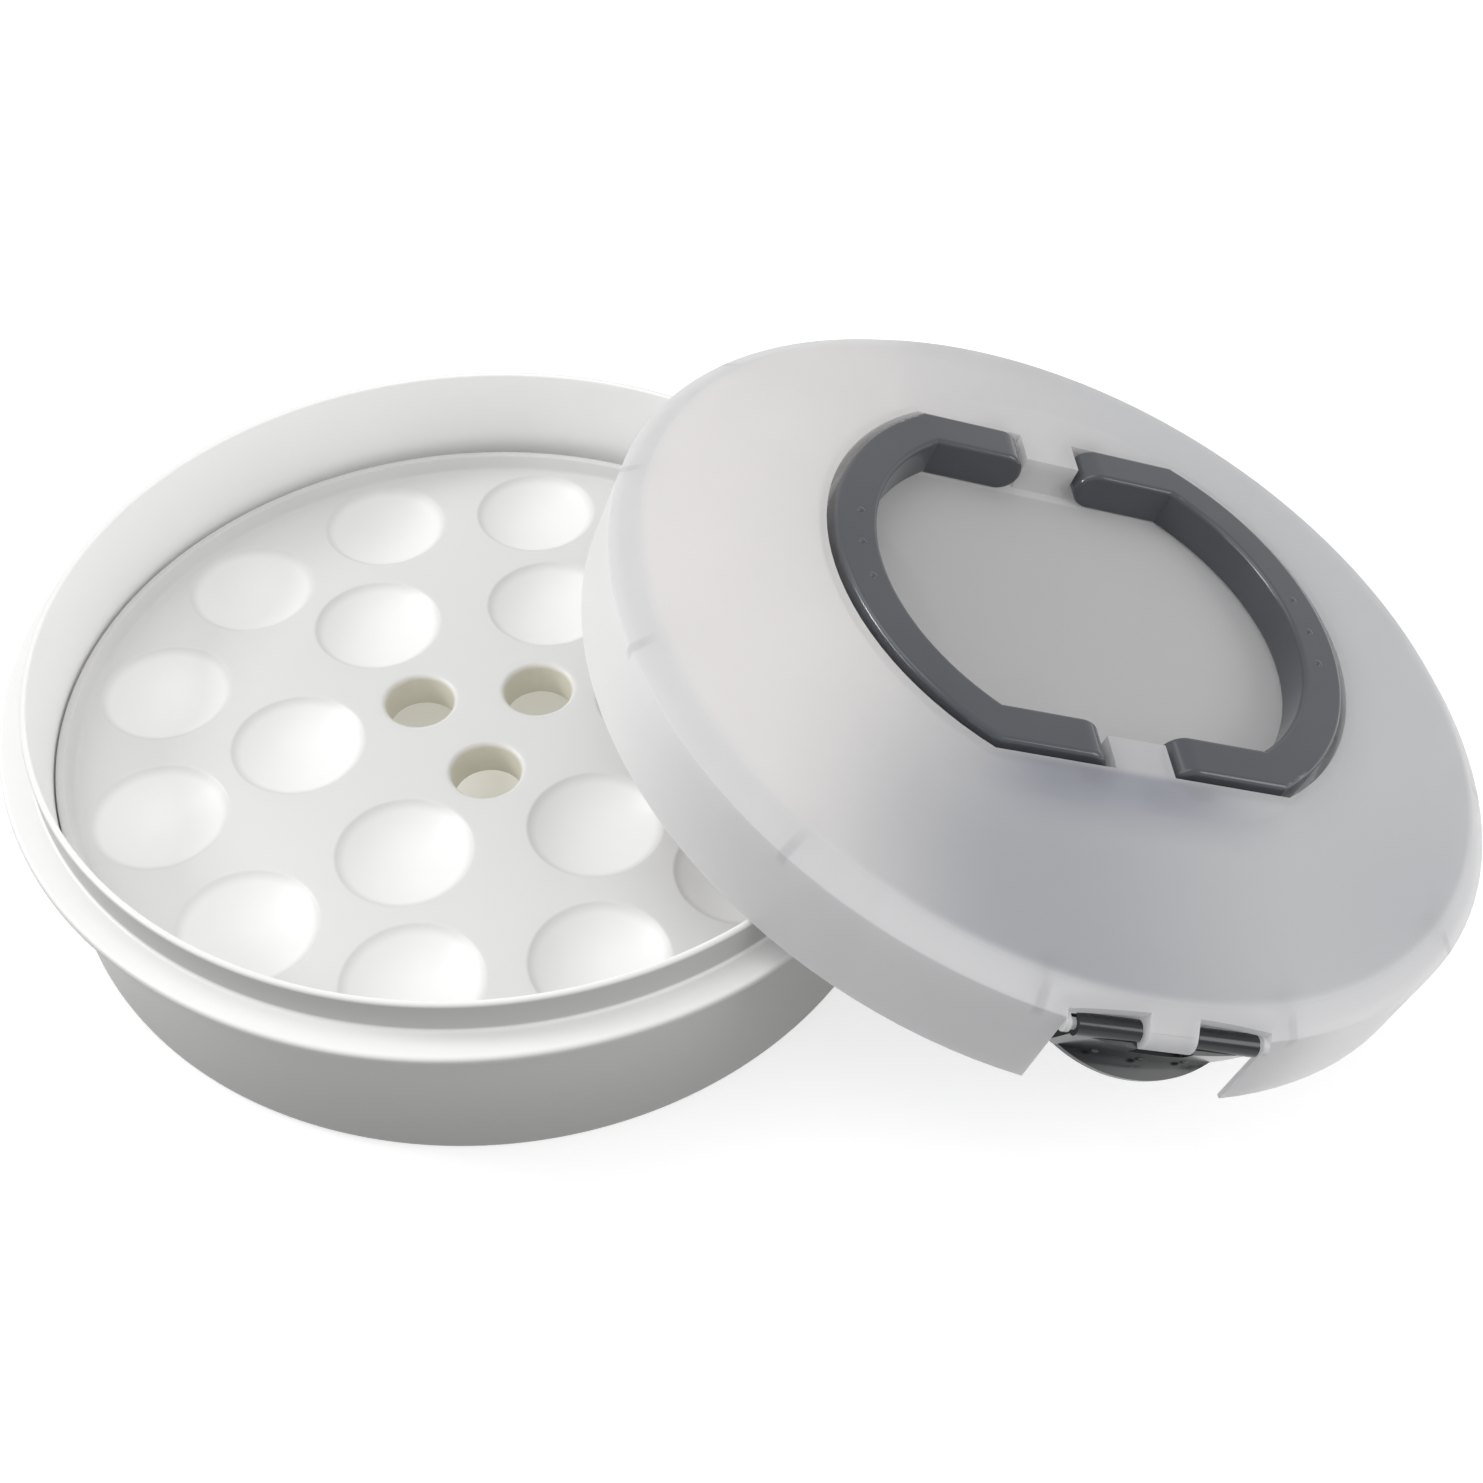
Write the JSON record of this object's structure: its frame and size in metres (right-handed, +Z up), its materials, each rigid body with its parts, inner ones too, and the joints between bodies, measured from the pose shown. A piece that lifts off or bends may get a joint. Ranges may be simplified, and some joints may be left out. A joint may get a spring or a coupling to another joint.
{
  "type": "cupcake carrier",
  "caption": "Round food carrier with a flanged base, a lift-out cup tray and a frosted domed lid that leans beside it, with folding handles and hook latches",
  "frame": {"origin": "centre of the base's foot, on the table", "axes": "+X towards the leaning lid, +Y away from the front, +Z up; metres"},
  "size_m": [0.5127, 0.3348, 0.1306],
  "materials": {
    "white_plastic": "satin moulded polypropylene",
    "tray_plastic": "satin moulded polypropylene",
    "frosted_plastic": "frosted translucent polypropylene",
    "grey_plastic": "satin pewter-grey moulded plastic",
    "dark_grey_plastic": "satin dark grey moulded plastic"
  },
  "bodies": {
    "carrier": {"base": "white_plastic", "cup_tray": "tray_plastic", "lid": "frosted_plastic"},
    "handle_left": {"handle_left": "grey_plastic"},
    "handle_right": {"handle_right": "grey_plastic"},
    "latch_front": {"latch_front": "dark_grey_plastic"},
    "latch_rear": {"latch_rear": "dark_grey_plastic"}
  },
  "joints": [
    {"name": "handle_left_fold", "type": "hinge", "parent": "carrier", "child": "handle_left", "pos_m": [0.18563, 0.00974, 0.10008], "axis": [-0.1112, 0.9937, 0.0167], "range_deg": [0, 98]},
    {"name": "handle_right_fold", "type": "hinge", "parent": "carrier", "child": "handle_right", "pos_m": [0.22166, 0.01396, 0.08876], "axis": [0.1112, -0.9937, -0.0167], "range_deg": [0, 98]},
    {"name": "latch_front_swing", "type": "hinge", "parent": "carrier", "child": "latch_front", "pos_m": [0.21501, -0.14501, 0.07209], "axis": [-0.9481, -0.1111, 0.2978], "range_deg": [-8, 135]},
    {"name": "latch_rear_swing", "type": "hinge", "parent": "carrier", "child": "latch_rear", "pos_m": [0.17999, 0.16799, 0.07733], "axis": [0.9481, 0.1111, -0.2978], "range_deg": [-8, 135]}
  ]
}
